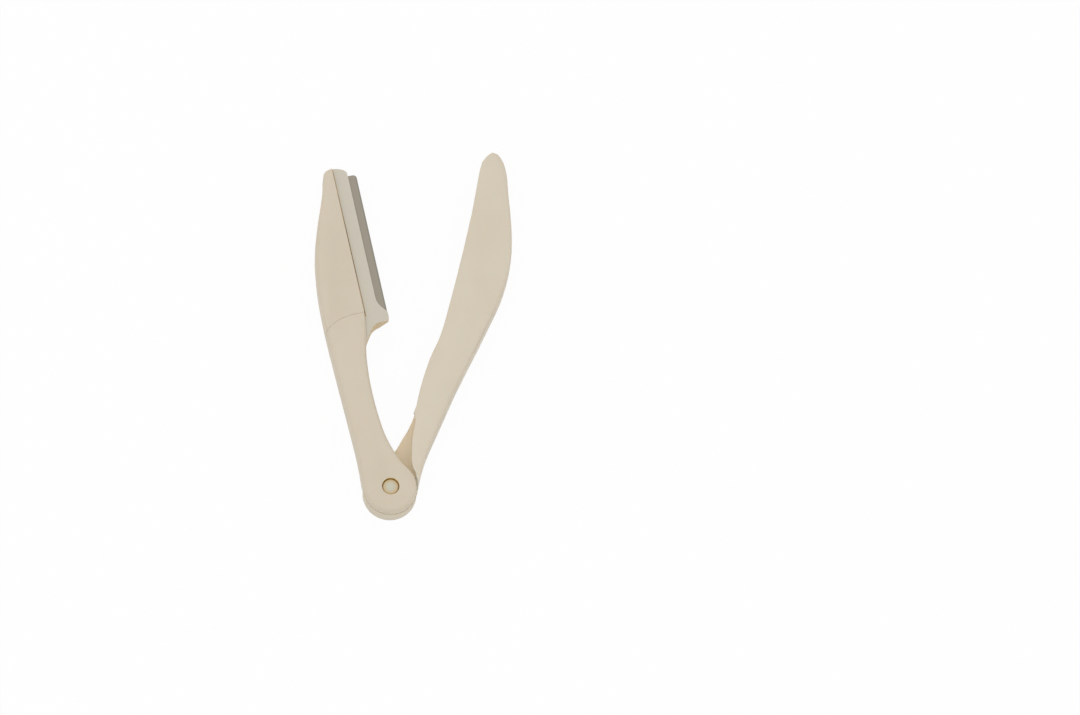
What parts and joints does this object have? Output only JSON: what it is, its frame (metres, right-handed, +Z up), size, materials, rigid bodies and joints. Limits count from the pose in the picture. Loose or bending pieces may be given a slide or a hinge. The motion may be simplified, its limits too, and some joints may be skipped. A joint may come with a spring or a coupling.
{
  "type": "folding eyebrow razor",
  "caption": "Folding eyebrow razor: a slim moulded handle with a straight blade along one side of its head, hinged on a pin to a channel-shaped cover that closes over the blade.",
  "frame": {"origin": "on the hinge axis, in the plane of the underside, where the cover's boss rests", "axes": "+Z up along the hinge pin, out of the handle's face; +Y from the hinge along the bisector of the two arms, towards their tips; +X towards the cover"},
  "size_m": [0.0477, 0.0926, 0.007],
  "materials": {
    "ivory_plastic": "moulded, fine satin",
    "strip_plastic": "moulded, fine satin, a little greyer",
    "blade_steel": "rolled strip with a ground edge"
  },
  "bodies": {
    "cover": {"cover": "ivory_plastic", "pivot_pin": "ivory_plastic"},
    "handle": {"handle_arm": "ivory_plastic", "head_cap": "ivory_plastic", "blade_holder": "strip_plastic", "blade": "blade_steel"}
  },
  "joints": [
    {"name": "fold", "type": "hinge", "parent": "cover", "child": "handle", "pos_m": [0, 0, 0], "axis": [0, 0, 1], "range_deg": [-25, 155]}
  ]
}
